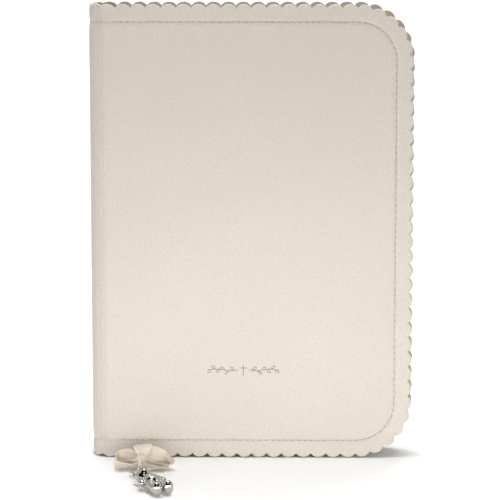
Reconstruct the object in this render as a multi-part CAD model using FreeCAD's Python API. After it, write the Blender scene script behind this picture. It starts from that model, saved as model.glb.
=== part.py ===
import FreeCAD, Part
import math
import os

# Zip-around prayer book, standing closed. X runs from the spine to the fore-edge, Y from the front
# cover to the back cover, Z up. The origin is the middle of the footprint of the book itself.

# ---- case: driving dimensions, mm ----
HEIGHT = 210.0
WIDTH = 149.0
THICKNESS = 22.0
FRONT_SETBACK = 1.3        # the front cover ends this far short of the back one
CORNER_RADIUS = 26.0       # fore-edge corners, over the scallop tips
SPINE_RADIUS = 8.5         # rounding of the spine's two long edges
SCALLOP_PITCH = 6.85
SCALLOP_DEPTH = 1.7
SPINE_SCALLOPS = 5
FIRST_NOTCH_X = -62.6      # first notch of the covers, beside the hinge

SKIN = 1.0                 # leatherette
BOARD = 1.2                # stiffener in the covers
STIFFENER = 0.8            # stiffener in the spine
WALL = 2.6                 # skin, stiffener and lining together
PASTEDOWN = 0.2
HINGE_GAP = 0.3            # between a cover and the spine piece
STITCH_INSET = 8.0         # stitch line, from the scallop tips
STITCH_WIDTH = 0.7
STITCH_GROOVE = 0.35
BOARD_INSET = 10.5
SPINE_ROWS = (3.4, 5.4)     # stitch rows of the spine, from the hinge round its outer face
SPINE_ROW_END = 4.0

# ---- zip ----
TAPE = 0.5
ZIP_INSET = 6.0            # middle of the tape wall, from the scallop tips
COIL_HEIGHT = 2.0
COIL_EDGE = 3.0            # outer edge of a coil, from the middle of the book
COIL_GAP = 0.45            # inner edge of a coil, from the middle of the book
TAPE_END_X = -62.0
COIL_LOW_X = -51.5
COIL_HIGH_X = -56.0
TAIL_END_X = -38.4         # the gripped end of the back coil stops here
BACK_COIL_X = -36.8        # and the back cover's own coil starts here
SLIDER_X = -44.0
SLIDER_LENGTH = 10.0
SLIDER_PLATE = 1.2
SLIDER_CLEAR = 0.2
PIN_X = -44.7
PIN_Z = 3.05
PIN_RADIUS = 0.4

# ---- book block ----
BLOCK_BOTTOM = 13.0
BLOCK_FORE_X = 58.0
BLOCK_SPINE_X = -61.5
PAGE_CORNER = 6.0
SIGNATURES = 8
SIGNATURE = 1.65
SIGNATURE_GAP = 0.05
OUTER_GAP = 0.2            # between the sections that turn and those that stay
BACK_ROUND = 3.6           # how far the middle sections stand out at the rounded back
FORE_HOLLOW = 1.6          # and how far they draw in at the fore-edge
FLYLEAF = 0.3

# ---- ribbon and charm ----
LEAD_RADIUS = 0.5
EYE_X = -56.2
KNOT = (-51.3, -32.8, 3.9)
KNOT_BACK = 3.4
CHARM_LOOP = (3.3, 3.9)     # the ribbon round the ring: its radius, and its middle's height
LEAD_X = -55.72            # the notch the ribbon leaves by
RING_Y = -41.0             # where the charm hangs on the ribbon
SPLIT_RING = (4.0, 0.5)    # ring radius and wire radius
JUMP_RING = (2.6, 0.4)
JUMP_RING_Z = 3.05
BEAR_LOOP = (1.7, 0.45)
BEAR_TURN = -62.5          # direction of its body, degrees from X
# the bear's rounded masses from the middle of its loop: along, aside, up, radius
BEAR_HEAD = ((4.9, 0.0, 3.8), 3.5)
BEAR_MUZZLE = ((6.0, 0.0, 6.4), 1.5)
BEAR_EAR = ((2.8, 2.9, 3.9), 1.5)
# and its longer ones: the middles of both ends, and the radius
BEAR_BELLY = ((11.0, 0.0, 3.7), (14.8, 0.0, 3.7), 3.6)
BEAR_ARM = ((10.0, 3.0, 3.7), (13.4, 5.4, 3.7), 1.5)
BEAR_LEG = ((16.4, 2.2, 3.0), (22.8, 2.5, 2.6), 2.0)
BEAR_FOOT = ((23.8, 2.5, 2.3), (23.8, 2.5, 4.4), 2.1)

# ---- ornament ----
ORNAMENT = (-4.5, 41.5)
ORNAMENT_LEAVES = 4
FOIL = 0.12

HALF = THICKNESS / 2
SPINE_X = -WIDTH / 2
BACK_FORE_X = WIDTH / 2
FRONT_FORE_X = BACK_FORE_X - FRONT_SETBACK
ARC_X = SPINE_X + SPINE_RADIUS
ARC_Y = HALF - SPINE_RADIUS
HINGE_X = ARC_X + 0.3
COVER_X = HINGE_X + HINGE_GAP
INNER = HALF - WALL
FORE_X = {-1: FRONT_FORE_X, 1: BACK_FORE_X}
SIDE_NAME = {-1: "front", 1: "back"}
SPINE_PITCH = 2 * (HINGE_X - ARC_X + ARC_Y + math.pi / 2 * SPINE_RADIUS + FIRST_NOTCH_X - HINGE_X) \
    / SPINE_SCALLOPS


def vec(x, z, y=0.0):
    return FreeCAD.Vector(x, y, z)


def line(a, b):
    return Part.LineSegment(a, b).toShape()


def arc(a, b, c):
    return Part.Arc(a, b, c).toShape()


def box(x, y, z):
    """A box from three (low, high) pairs."""
    solid = Part.makeBox(x[1] - x[0], y[1] - y[0], z[1] - z[0])
    solid.translate(FreeCAD.Vector(x[0], y[0], z[0]))
    return solid


def raised(edges, direction):
    """The solid over a closed outline, pulled along a direction."""
    return Part.Face(Part.Wire(Part.__sortEdges__(edges))).extrude(direction)


def span(side, near, far):
    """The low and high Y of a layer from its distances to the middle of the book."""
    return tuple(sorted((side * near, side * far)))


def u_edges(fore_x, inset, low_x, high_x, y):
    """The run round bottom, fore-edge and top at an inset, as edges, with its two ends."""
    corner_x, r = fore_x - CORNER_RADIUS, CORNER_RADIUS - inset
    d = r * math.sqrt(0.5)
    low, high = CORNER_RADIUS, HEIGHT - CORNER_RADIUS
    start, end = vec(low_x, inset, y), vec(high_x, HEIGHT - inset, y)
    a, b = vec(corner_x, inset, y), vec(fore_x - inset, low, y)
    c, e = vec(fore_x - inset, high, y), vec(corner_x, HEIGHT - inset, y)
    edges = [line(start, a), arc(a, vec(corner_x + d, low - d, y), b), line(b, c),
             arc(c, vec(corner_x + d, high + d, y), e), line(e, end)]
    return edges, start, end


def plate(fore_x, inset, spine_x, ys):
    """A flat panel with the case's rounded outline."""
    edges, start, end = u_edges(fore_x, inset, spine_x, spine_x, ys[0])
    return raised(edges + [line(end, start)], FreeCAD.Vector(0, ys[1] - ys[0], 0))


def band(fore_x, insets, low_x, high_x, ys):
    """A wall that follows the three open sides between two insets."""
    outer, a, b = u_edges(fore_x, insets[0], low_x, high_x, ys[0])
    inner, c, d = u_edges(fore_x, insets[1], low_x, high_x, ys[0])
    return raised(outer + inner + [line(a, c), line(b, d)], FreeCAD.Vector(0, ys[1] - ys[0], 0))


def notch_point(fore_x, s):
    """A point and its outward normal on the curve through the notches, s along it."""
    corner_x, r = fore_x - CORNER_RADIUS, CORNER_RADIUS - SCALLOP_DEPTH
    run, bend, side = corner_x - FIRST_NOTCH_X, math.pi / 2 * r, HEIGHT - 2 * CORNER_RADIUS
    if s <= run:
        return vec(FIRST_NOTCH_X + s, SCALLOP_DEPTH), vec(0, -1)
    s -= run
    if s <= bend:
        n = vec(math.sin(s / r), -math.cos(s / r))
        return vec(corner_x, CORNER_RADIUS) + n * r, n
    s -= bend
    if s <= side:
        return vec(fore_x - SCALLOP_DEPTH, CORNER_RADIUS + s), vec(1, 0)
    s -= side
    if s <= bend:
        n = vec(math.cos(s / r), math.sin(s / r))
        return vec(corner_x, HEIGHT - CORNER_RADIUS) + n * r, n
    return vec(corner_x - s + bend, HEIGHT - SCALLOP_DEPTH), vec(0, 1)


def notch_length(fore_x):
    run = fore_x - CORNER_RADIUS - FIRST_NOTCH_X
    return 2 * run + math.pi * (CORNER_RADIUS - SCALLOP_DEPTH) + HEIGHT - 2 * CORNER_RADIUS


def spine_scallop_radius():
    half = SPINE_PITCH / 2
    return (half ** 2 + SCALLOP_DEPTH ** 2) / (2 * SCALLOP_DEPTH)


def straddle(x):
    """Height at x of the scallop that crosses the hinge, above the foot of the book."""
    r, centre = spine_scallop_radius(), FIRST_NOTCH_X - SPINE_PITCH / 2
    return r - math.sqrt(r ** 2 - (x - centre) ** 2)


def scalloped_plate(fore_x, ys):
    """A cover layer with the scalloped edge on its three open sides."""
    total = notch_length(fore_x)
    count = round(total / SCALLOP_PITCH)
    step = total / count
    lift = FreeCAD.Vector(0, ys[0], 0)
    edges = []
    for i in range(count):
        a, b = notch_point(fore_x, i * step)[0], notch_point(fore_x, (i + 1) * step)[0]
        middle, normal = notch_point(fore_x, (i + 0.5) * step)
        edges.append(arc(a + lift, middle + normal * SCALLOP_DEPTH + lift, b + lift))
    half_x = (COVER_X + FIRST_NOTCH_X) / 2
    low = [vec(x, straddle(x), ys[0]) for x in (COVER_X, half_x, FIRST_NOTCH_X)]
    high = [vec(x, HEIGHT - straddle(x), ys[0]) for x in (COVER_X, half_x, FIRST_NOTCH_X)]
    edges += [arc(*low), arc(*high), line(low[0], high[0])]
    return raised(edges, FreeCAD.Vector(0, ys[1] - ys[0], 0))


def cover_parts(side):
    """Skin, board, lining, pastedown and edge stitching of one cover."""
    fore_x, name = FORE_X[side], SIDE_NAME[side]
    groove_insets = (STITCH_INSET - STITCH_WIDTH / 2, STITCH_INSET + STITCH_WIDTH / 2)
    groove_ys = span(side, HALF - STITCH_GROOVE, HALF)
    groove = band(fore_x, groove_insets, COVER_X, COVER_X, groove_ys)
    skin = scalloped_plate(fore_x, span(side, HALF - SKIN, HALF)).cut(groove)
    board_ys = span(side, HALF - SKIN - BOARD, HALF - SKIN)
    board = plate(fore_x, BOARD_INSET, COVER_X + 1.5, board_ys)
    lining = scalloped_plate(fore_x, span(side, INNER, HALF - SKIN)).cut(board)
    pastedown = plate(fore_x, BOARD_INSET + 1, COVER_X + 4, span(side, INNER - PASTEDOWN, INNER))
    thread = band(fore_x, groove_insets, COVER_X + 0.5, COVER_X + 0.5, groove_ys)
    return {name + "_cover_skin": skin, name + "_board": board, name + "_lining": lining,
            name + "_pastedown": pastedown, name + "_edge_stitching": thread}


def spine_profile(t, end_x, z):
    """The U of the spine at depth t under its outer face, seen from above, with its two ends."""
    y, r = HALF - t, SPINE_RADIUS - t
    d = r * math.sqrt(0.5)
    a, b = vec(end_x, z, -y), vec(ARC_X, z, -y)
    c, e = vec(SPINE_X + t, z, -ARC_Y), vec(SPINE_X + t, z, ARC_Y)
    f, g = vec(ARC_X, z, y), vec(end_x, z, y)
    edges = [line(a, b), arc(b, vec(ARC_X - d, z, -ARC_Y - d), c), line(c, e),
             arc(e, vec(ARC_X - d, z, ARC_Y + d), f), line(f, g)]
    return edges, a, g


def spine_shell(t0, t1, end_x, zs):
    outer, a, b = spine_profile(t0, end_x, zs[0])
    inner, c, d = spine_profile(t1, end_x, zs[0])
    return raised(outer + inner + [line(a, c), line(b, d)], FreeCAD.Vector(0, 0, zs[1] - zs[0]))


def spine_point(s):
    """A point on the spine's outer face and its outward normal, s round it from the front hinge."""
    flat, bend = HINGE_X - ARC_X, math.pi / 2 * SPINE_RADIUS
    middle = flat + bend + ARC_Y
    if s > middle:
        point, normal = spine_point(2 * middle - s)
        return FreeCAD.Vector(point.x, -point.y, 0), FreeCAD.Vector(normal.x, -normal.y, 0)
    if s <= flat:
        return FreeCAD.Vector(HINGE_X - s, -HALF, 0), FreeCAD.Vector(0, -1, 0)
    if s <= flat + bend:
        turn = (s - flat) / SPINE_RADIUS
        normal = FreeCAD.Vector(-math.sin(turn), -math.cos(turn), 0)
        return FreeCAD.Vector(ARC_X, -ARC_Y, 0) + normal * SPINE_RADIUS, normal
    return FreeCAD.Vector(SPINE_X, s - flat - bend - ARC_Y, 0), FreeCAD.Vector(-1, 0, 0)


def spine_scallops(shell):
    """The scalloped head and foot of a spine layer, cut from its full-height shell."""
    r = spine_scallop_radius()
    core = shell.common(box((-90, 0), (-20, 20), (SCALLOP_DEPTH, HEIGHT - SCALLOP_DEPTH)))
    discs = []
    for k in range(SPINE_SCALLOPS):
        point, normal = spine_point(SPINE_PITCH * (k + 0.5) + HINGE_X - FIRST_NOTCH_X)
        for z in (r, HEIGHT - r):
            foot = point - normal * 2 * WALL + FreeCAD.Vector(0, 0, z)
            discs.append(Part.makeCylinder(r, 3 * WALL, foot, normal))
    tips = shell.common(discs[0].multiFuse(discs[1:]))
    return core.fuse(tips).removeSplitter()


def spine_row(s):
    """A slot along the spine for one row of stitches."""
    point, normal = spine_point(s)
    zs = (SPINE_ROW_END, HEIGHT - SPINE_ROW_END)
    slot = box((-STITCH_GROOVE, 1.0), (-STITCH_WIDTH / 2, STITCH_WIDTH / 2), zs)
    slot.rotate(FreeCAD.Vector(), FreeCAD.Vector(0, 0, 1), math.degrees(math.atan2(normal.y, normal.x)))
    slot.translate(point)
    return slot


def spine_parts():
    """Skin, stiffener, lining and the stitch rows of the spine."""
    stiffener = spine_shell(SKIN, SKIN + STIFFENER, ARC_X + 0.1, (9.0, HEIGHT - 9.0))
    shell = spine_shell(0, SKIN, HINGE_X, (0, HEIGHT))
    lining = spine_scallops(spine_shell(SKIN, WALL, HINGE_X, (0, HEIGHT))).cut(stiffener)
    middle = HINGE_X - ARC_X + math.pi / 2 * SPINE_RADIUS + ARC_Y
    front = Part.makeCompound([spine_row(s) for s in SPINE_ROWS])
    back = Part.makeCompound([spine_row(2 * middle - s) for s in SPINE_ROWS])
    return {"spine_skin": spine_scallops(shell).cut(front).cut(back),
            "spine_stiffener": stiffener, "spine_lining": lining,
            "front_spine_stitching": front.common(shell),
            "back_spine_stitching": back.common(shell)}


def section_shape(y):
    """Spine-side and fore-edge X of a leaf at depth y, for the rounded back and hollow fore-edge."""
    bulge = 1 - (y / (HALF - WALL)) ** 2
    return BLOCK_SPINE_X - BACK_ROUND * bulge, BLOCK_FORE_X - FORE_HOLLOW * bulge


def leaf(ys):
    """A block of leaves with rounded fore-edge corners."""
    spine_x, fore_x = section_shape(sum(ys) / 2)
    low, high, r = BLOCK_BOTTOM, HEIGHT - BLOCK_BOTTOM, PAGE_CORNER
    d = r * (1 - math.sqrt(0.5))
    y = ys[0]
    a, b, c = vec(spine_x, low, y), vec(fore_x - r, low, y), vec(fore_x, low + r, y)
    e, f, g = vec(fore_x, high - r, y), vec(fore_x - r, high, y), vec(spine_x, high, y)
    edges = [line(a, b), arc(b, vec(fore_x - d, low + d, y), c), line(c, e),
             arc(e, vec(fore_x - d, high - d, y), f), line(f, g), line(g, a)]
    return raised(edges, FreeCAD.Vector(0, ys[1] - ys[0], 0))


def block_parts():
    """The sewn sections, the two flyleaves, and the cloth on the back of the block."""
    parts = {}
    inner = SIGNATURES - 2
    half = (inner * SIGNATURE + (inner - 1) * SIGNATURE_GAP) / 2
    for i in range(inner):
        y = -half + i * (SIGNATURE + SIGNATURE_GAP)
        parts[f"page_section_{i + 2}"] = leaf((y, y + SIGNATURE))
    for side in (-1, 1):
        number = 1 if side < 0 else SIGNATURES
        near = half + OUTER_GAP
        parts[f"page_section_{number}"] = leaf(span(side, near, near + SIGNATURE))
        near += SIGNATURE + OUTER_GAP
        parts[SIDE_NAME[side] + "_flyleaf"] = leaf(span(side, near, near + FLYLEAF))
    edge_x, middle_x = section_shape(half)[0], section_shape(0)[0]
    mull = (0.35, 0.85)
    parts["spine_mull"] = back_strip(edge_x, middle_x, half, mull, (20.0, HEIGHT - 20.0))
    for name, z in (("tailband", BLOCK_BOTTOM - 1.6), ("headband", HEIGHT - BLOCK_BOTTOM)):
        parts[name] = back_strip(edge_x + 1.5, middle_x + 1.5, half - 0.3, (0.0, 1.6), (z, z + 1.6))
    return parts


def back_strip(edge_x, middle_x, half, depth, zs):
    """A curved strip along the rounded back of the block."""
    edges, ends = [], []
    for t in depth:
        a, m, b = vec(edge_x - t, zs[0], -half), vec(middle_x - t, zs[0]), vec(edge_x - t, zs[0], half)
        edges.append(arc(a, m, b))
        ends.append((a, b))
    edges += [line(ends[0][0], ends[1][0]), line(ends[0][1], ends[1][1])]
    return raised(edges, FreeCAD.Vector(0, 0, zs[1] - zs[0]))


def zip_parts():
    """Tapes, coils, stops and the gripped end of the closed zip."""
    parts = {}
    wall = (ZIP_INSET - TAPE / 2, ZIP_INSET + TAPE / 2)
    coil = (ZIP_INSET - COIL_HEIGHT / 2, ZIP_INSET + COIL_HEIGHT / 2)
    sewn = (wall[1], STITCH_INSET + 2.0)
    for side in (-1, 1):
        name, fore_x = SIDE_NAME[side], FRONT_FORE_X
        tape = band(fore_x, wall, TAPE_END_X, TAPE_END_X, span(side, COIL_EDGE, INNER))
        foot = band(fore_x, sewn, TAPE_END_X, TAPE_END_X, span(side, INNER - TAPE, INNER))
        tape = tape.fuse(foot).removeSplitter()
        low_x = COIL_LOW_X if side < 0 else BACK_COIL_X
        if side > 0:
            tape = tape.cut(box((TAPE_END_X - 1, low_x), (0, COIL_EDGE + 1.5), (4.0, 8.0)))
        parts[name + "_zip_tape"] = tape
        coil_ys = span(side, COIL_GAP, COIL_EDGE)
        parts[name + "_zip_coil"] = band(fore_x, coil, low_x, COIL_HIGH_X, coil_ys)
    tail_tape_ys, tail_coil_ys = (COIL_EDGE, COIL_EDGE + 1.3), (COIL_GAP, COIL_EDGE)
    parts["zip_end_tape"] = box((TAPE_END_X, TAIL_END_X - 0.8), tail_tape_ys, wall)
    parts["zip_end_coil"] = box((COIL_LOW_X, TAIL_END_X), tail_coil_ys, coil)
    stop_zs = (coil[0] - 0.1, coil[1] + 0.1)
    stops = [box((COIL_LOW_X - 1.8, COIL_LOW_X - 0.1), span(side, 0.6, COIL_EDGE - 0.1), stop_zs)
             for side in (-1, 1)]
    parts["zip_top_stops"] = Part.makeCompound(stops)
    high_zs = (HEIGHT - stop_zs[1], HEIGHT - stop_zs[0])
    parts["zip_bottom_stop"] = box((COIL_HIGH_X - 3.0, COIL_HIGH_X - 1.2), (-1.0, 2.9), high_zs)
    return parts


def slider_parts():
    """The slider, its bridge and the pull tab under it."""
    x = (SLIDER_X - SLIDER_LENGTH / 2, SLIDER_X + SLIDER_LENGTH / 2)
    low = ZIP_INSET - COIL_HEIGHT / 2 - SLIDER_CLEAR
    high = ZIP_INSET + COIL_HEIGHT / 2 + SLIDER_CLEAR
    width, lip = COIL_EDGE + SLIDER_CLEAR, 0.9
    slot = TAPE / 2 + 0.25
    lower = box(x, (-width - lip, width + lip), (low - SLIDER_PLATE + 0.2, low))
    upper = box(x, (-width - lip, width + lip), (high, high + SLIDER_PLATE))
    lower, upper = rounded_ends(lower), rounded_ends(upper)
    lips = []
    for side in (-1, 1):
        ys = span(side, width, width + lip)
        shorter = (x[0] + 1.5, x[1] - 1.5)
        lips += [box(shorter, ys, (low, ZIP_INSET - slot)), box(shorter, ys, (ZIP_INSET + slot, high))]
    post = box((x[0] + 0.6, x[0] + 2.6), (-COIL_GAP + 0.15, COIL_GAP - 0.15), (low, high))
    body = lower.multiFuse([upper, post] + lips).removeSplitter()
    under = low - SLIDER_PLATE + 0.2
    legs = [box((PIN_X + d - 0.4, PIN_X + d + 0.4), (-0.6, 0.6), (1.5, under)) for d in (-3.5, 3.5)]
    bar = box((PIN_X - 3.9, PIN_X + 3.9), (-0.6, 0.6), (1.5, 2.3))
    bridge = bar.multiFuse(legs).removeSplitter()
    return {"zip_slider": body, "slider_bridge": bridge, "pull_tab": pull_tab()}


def rounded_ends(solid):
    """A slider plate with its four upright corners rounded."""
    upright = [e for e in solid.Edges if abs(e.tangentAt(e.FirstParameter).z) > 0.9]
    return solid.makeFillet(1.4, upright)


def pull_tab():
    """The tab: a pin, two arms, and a rounded plate with an eye for the ribbon."""
    zs = (PIN_Z - 0.45, PIN_Z + 0.45)
    plate_x = (PIN_X - 13.9, PIN_X - 4.5)
    blade = box(plate_x, (-2.5, 2.5), zs)
    upright = [e for e in blade.Edges
               if abs(e.tangentAt(e.FirstParameter).z) > 0.9 and e.CenterOfMass.x < PIN_X - 10]
    blade = blade.makeFillet(2.2, upright)
    arms = [box((PIN_X - 4.5, PIN_X + 0.45), span(side, 1.1, 2.3), zs) for side in (-1, 1)]
    centre = FreeCAD.Vector(PIN_X, -1.1, PIN_Z)
    pin = Part.makeCylinder(PIN_RADIUS, 2.2, centre, FreeCAD.Vector(0, 1, 0))
    eye = Part.makeCylinder(1.3, 3.0, FreeCAD.Vector(EYE_X, 0, PIN_Z - 1.5))
    return blade.multiFuse(arms + [pin]).removeSplitter().cut(eye)


def tube(points, radius):
    """A cord along straight runs joined by tangent arcs, as large as the two runs allow."""
    points = [FreeCAD.Vector(*p) for p in points]
    edges, here, radii = [], points[0], []
    for a, b, c in zip(points, points[1:], points[2:]):
        before, after = (b - a).normalize(), (c - b).normalize()
        half_turn = before.getAngle(after) / 2
        reach = 0.45 * min((b - a).Length, (c - b).Length)
        radii.append(round(reach / math.tan(half_turn), 1))
        start, end = b - before * reach, b + after * reach
        inward = (after - before).normalize()
        r = reach / math.tan(half_turn)
        middle = b + inward * (r / math.cos(half_turn) - r)
        edges += [line(here, start), arc(start, middle, end)]
        here = end
    edges.append(line(here, points[-1]))
    path = Part.Wire(edges)
    section = Part.Wire(Part.Circle(points[0], points[1] - points[0], radius).toShape())
    solid = path.makePipeShell([section], True, False)
    share = solid.Volume / (math.pi * radius ** 2 * path.Length)
    print("cord radii", radii, "length", round(path.Length, 1), "volume share", round(share, 3))
    return solid


def ring(centre, radius, wire, axis):
    return Part.makeTorus(radius, wire, FreeCAD.Vector(*centre), FreeCAD.Vector(*axis))


def strap_loop(near, near_r, far, far_r, thickness, ys):
    """A flat ribbon turned back on itself: a band round two circles, seen from the front."""
    solids = []
    for cut in (0, thickness):
        a, b = vec(near[0], near[1], ys[0]), vec(far[0], far[1], ys[0])
        ra, rb, along = near_r - cut, far_r - cut, b - a
        tilt = math.asin((rb - ra) / along.Length)
        u = along.normalize()
        n = FreeCAD.Vector(-u.z, 0, u.x)
        over = n * math.cos(tilt) - u * math.sin(tilt)
        under = n * -math.cos(tilt) - u * math.sin(tilt)
        edges = [arc(a + over * ra, a - u * ra, a + under * ra), line(a + under * ra, b + under * rb),
                 arc(b + under * rb, b + u * rb, b + over * rb), line(b + over * rb, a + over * ra)]
        solids.append(raised(edges, FreeCAD.Vector(0, ys[1] - ys[0], 0)))
    return solids[0].cut(solids[1])


def ribbon_tail(root, tip, half_root, half_tip, zs):
    """A loose ribbon end lying flat, wider at its slanted tip."""
    (ax, ay), (bx, by) = root, tip
    corners = [vec(ax - half_root, zs[0], ay), vec(ax + half_root, zs[0], ay),
               vec(bx + half_tip, zs[0], by), vec(bx - half_tip, zs[0], by - 1.2)]
    edges = [line(corners[i], corners[(i + 1) % 4]) for i in range(4)]
    return raised(edges, FreeCAD.Vector(0, 0, zs[1] - zs[0]))


def ribbon_parts():
    """The ribbon: hitched to the tab, led out under the front cover, tied in a bow."""
    x, y, z = KNOT
    strip_y = -1.9
    hitch = ring((EYE_X, strip_y, PIN_Z), 1.35, 0.45, (1, 0, 0))
    lead = tube([(EYE_X, strip_y - 1.85, 2.7), (EYE_X + 0.15, -5.8, 1.3), (LEAD_X, -8.2, 0.56),
                 (LEAD_X, -11.8, 0.56), (LEAD_X + 0.6, -17.2, 0.6), (LEAD_X + 2.2, -23.2, 1.2),
                 (x - 1.0, y + KNOT_BACK + 0.1, 3.0)], LEAD_RADIUS)
    knot = box((x - 1.9, x + 1.9), (y - 3.0, y + KNOT_BACK), (z - 3.3, z + 2.2))
    knot = knot.makeFillet(0.8, knot.Edges)
    ys = (y - 2.6, y + 3.0)
    left = strap_loop((x - 3.0, z + 0.4), 0.9, (x - 9.0, z - 0.2), 3.1, 0.5, ys)
    right = strap_loop((x + 3.0, z + 0.4), 0.9, (x + 9.7, z), 3.6, 0.5, ys)
    tails = [ribbon_tail((x - 1.0, y - 3.1), (x - 5.0, y - 8.2), 1.2, 2.4, (0.3, 0.8)),
             ribbon_tail((x + 1.4, y - 3.1), (x + 5.2, y - 7.6), 1.1, 2.4, (0.3, 0.8))]
    loop = ring((x + 0.4, RING_Y + 1.4, CHARM_LOOP[1]), CHARM_LOOP[0], LEAD_RADIUS, (1, 0, 0))
    return {"ribbon_hitch": hitch, "ribbon_lead": lead, "ribbon_knot": knot, "bow_left_loop": left,
            "bow_right_loop": right, "bow_tails": Part.makeCompound(tails), "charm_ribbon_loop": loop}


def capsule(a, b, radius):
    a, b = FreeCAD.Vector(*a), FreeCAD.Vector(*b)
    middle = Part.makeCylinder(radius, (b - a).Length, a, b - a)
    return middle.multiFuse([Part.makeSphere(radius, a), Part.makeSphere(radius, b)])


def charm_parts():
    """Two rings and a small cast bear lying on its back, feet away from the book."""
    x = KNOT[0] + 0.4
    split = ring((x, RING_Y - SPLIT_RING[0], 2.3), SPLIT_RING[0], SPLIT_RING[1], (0, 0, 1))
    jump_y = RING_Y - 2 * SPLIT_RING[0] - 1.4
    jump = ring((x, jump_y, JUMP_RING_Z), JUMP_RING[0], JUMP_RING[1], (1, 0, 0))
    loop = FreeCAD.Vector(x, jump_y - JUMP_RING[0] - 0.6, 0)
    bear = bear_casting()
    bear.rotate(FreeCAD.Vector(), FreeCAD.Vector(0, 0, 1), BEAR_TURN)
    bear.translate(loop)
    return {"charm_split_ring": split, "charm_jump_ring": jump, "bear_charm": bear}


def ball(centre, radius, side=1):
    return Part.makeSphere(radius, FreeCAD.Vector(centre[0], side * centre[1], centre[2]))


def limb(a, b, radius, side=1):
    ends = [(along, side * aside, up) for along, aside, up in (a, b)]
    return capsule(ends[0], ends[1], radius)


def bear_casting():
    """The bear along X on its back, from the middle of the loop it hangs by."""
    loop = ring((0, 0, JUMP_RING_Z), BEAR_LOOP[0], BEAR_LOOP[1], (0, 0, 1))
    masses = [loop, limb(*BEAR_BELLY), ball(*BEAR_MUZZLE)]
    for side in (-1, 1):
        masses.append(ball(*BEAR_EAR, side))
        masses += [limb(*mass, side) for mass in (BEAR_ARM, BEAR_LEG, BEAR_FOOT)]
    return ball(*BEAR_HEAD).multiFuse(masses)


def blade(x, z, length, width, turn):
    """One pointed leaf of the cover ornament, as a lens outline."""
    along = vec(math.cos(turn), math.sin(turn)) * (length / 2)
    across = vec(-math.sin(turn), math.cos(turn)) * (width / 2)
    middle = vec(x, z, -HALF)
    a, b = middle - along, middle + along
    edges = [arc(a, middle + across, b), arc(a, middle - across, b)]
    return raised(edges, FreeCAD.Vector(0, FOIL, 0))


def ornament():
    """A plain cross between two leafy sprigs, let into the front cover."""
    x, z = ORNAMENT
    ys = (-HALF, -HALF + FOIL)
    upright = box((x - 0.5, x + 0.5), ys, (z - 3.0, z + 3.0))
    arms = box((x - 1.8, x + 1.8), ys, (z + 0.4, z + 1.4))
    pieces = [upright.fuse(arms).removeSplitter()]
    for side in (-1, 1):
        for i in range(ORNAMENT_LEAVES):
            step = 4.2 + 3.4 * i
            for lift in (-1, 1):
                turn = side * lift * math.radians(38)
                pieces.append(blade(x + side * step, z + lift * 1.15, 2.9, 1.0, turn))
    return Part.makeCompound(pieces)


def build():
    parts = {}
    parts.update(cover_parts(-1))
    parts.update(cover_parts(1))
    parts["cover_ornament"] = ornament()
    parts["front_cover_skin"] = parts["front_cover_skin"].cut(parts["cover_ornament"])
    for group in (spine_parts, block_parts, zip_parts, slider_parts, ribbon_parts, charm_parts):
        parts.update(group())
    return parts


os.makedirs("parts", exist_ok=True)
for name, shape in build().items():
    shape.exportStep("parts/" + name + ".step")
    bounds = shape.BoundBox
    print(name, shape.isValid(), len(shape.Solids), round(shape.Volume, 1),
          [round(v, 1) for v in (bounds.XMin, bounds.XMax, bounds.YMin, bounds.YMax,
                                 bounds.ZMin, bounds.ZMax)])
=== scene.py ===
import math

import bpy
from mathutils import Matrix, Vector


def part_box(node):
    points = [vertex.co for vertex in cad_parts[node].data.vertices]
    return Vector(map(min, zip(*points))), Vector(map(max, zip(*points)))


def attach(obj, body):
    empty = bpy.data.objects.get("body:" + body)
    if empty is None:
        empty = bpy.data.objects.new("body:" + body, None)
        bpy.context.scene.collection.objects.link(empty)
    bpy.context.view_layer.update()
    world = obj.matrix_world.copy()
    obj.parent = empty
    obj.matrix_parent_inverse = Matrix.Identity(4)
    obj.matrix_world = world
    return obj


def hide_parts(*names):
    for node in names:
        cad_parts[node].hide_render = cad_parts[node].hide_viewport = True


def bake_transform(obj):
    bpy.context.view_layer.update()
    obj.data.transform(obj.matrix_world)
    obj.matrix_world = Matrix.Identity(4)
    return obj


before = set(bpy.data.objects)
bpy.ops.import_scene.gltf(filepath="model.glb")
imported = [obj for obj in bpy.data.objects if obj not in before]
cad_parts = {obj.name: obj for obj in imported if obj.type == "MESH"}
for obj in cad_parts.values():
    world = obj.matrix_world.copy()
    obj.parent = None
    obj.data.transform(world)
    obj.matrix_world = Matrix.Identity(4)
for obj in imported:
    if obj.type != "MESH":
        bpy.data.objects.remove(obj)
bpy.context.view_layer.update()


# ---- Camera -------------------------------------------------------------------------------------------
# The book stands on a table and is seen from the front, a little from above, with a long lens that is
# nearly level, so that its sides stay almost parallel.
MM = 0.001
front_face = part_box("front_cover_skin")[0][1]
CAMERA_AWAY = 1.050        # metres from the cover
CAMERA_UP = 0.277
CAMERA_TURN = math.radians(0.6)
AIM_Z = 0.118
FRAME_WIDTH = 0.2285       # metres across the picture at the cover
FRAME_SHIFT = (-0.006, -0.088)   # as shares of the picture's width
SENSOR_WIDTH = 36.0

camera_data = bpy.data.cameras.new("camera")
camera = bpy.data.objects.new("camera", camera_data)
bpy.context.scene.collection.objects.link(camera)
aim = Vector((0.0, front_face, AIM_Z))
camera.location = (CAMERA_AWAY * math.sin(CAMERA_TURN), front_face - CAMERA_AWAY * math.cos(CAMERA_TURN),
                   CAMERA_UP)
camera.rotation_euler = (aim - camera.location).to_track_quat("-Z", "Y").to_euler()
camera_data.sensor_width = SENSOR_WIDTH
camera_data.lens = SENSOR_WIDTH * (aim - camera.location).length / FRAME_WIDTH
camera_data.shift_x, camera_data.shift_y = FRAME_SHIFT
camera_data.clip_start = 0.01
bpy.context.scene.camera = camera
bpy.context.scene.view_settings.view_transform = "Standard"


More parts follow.
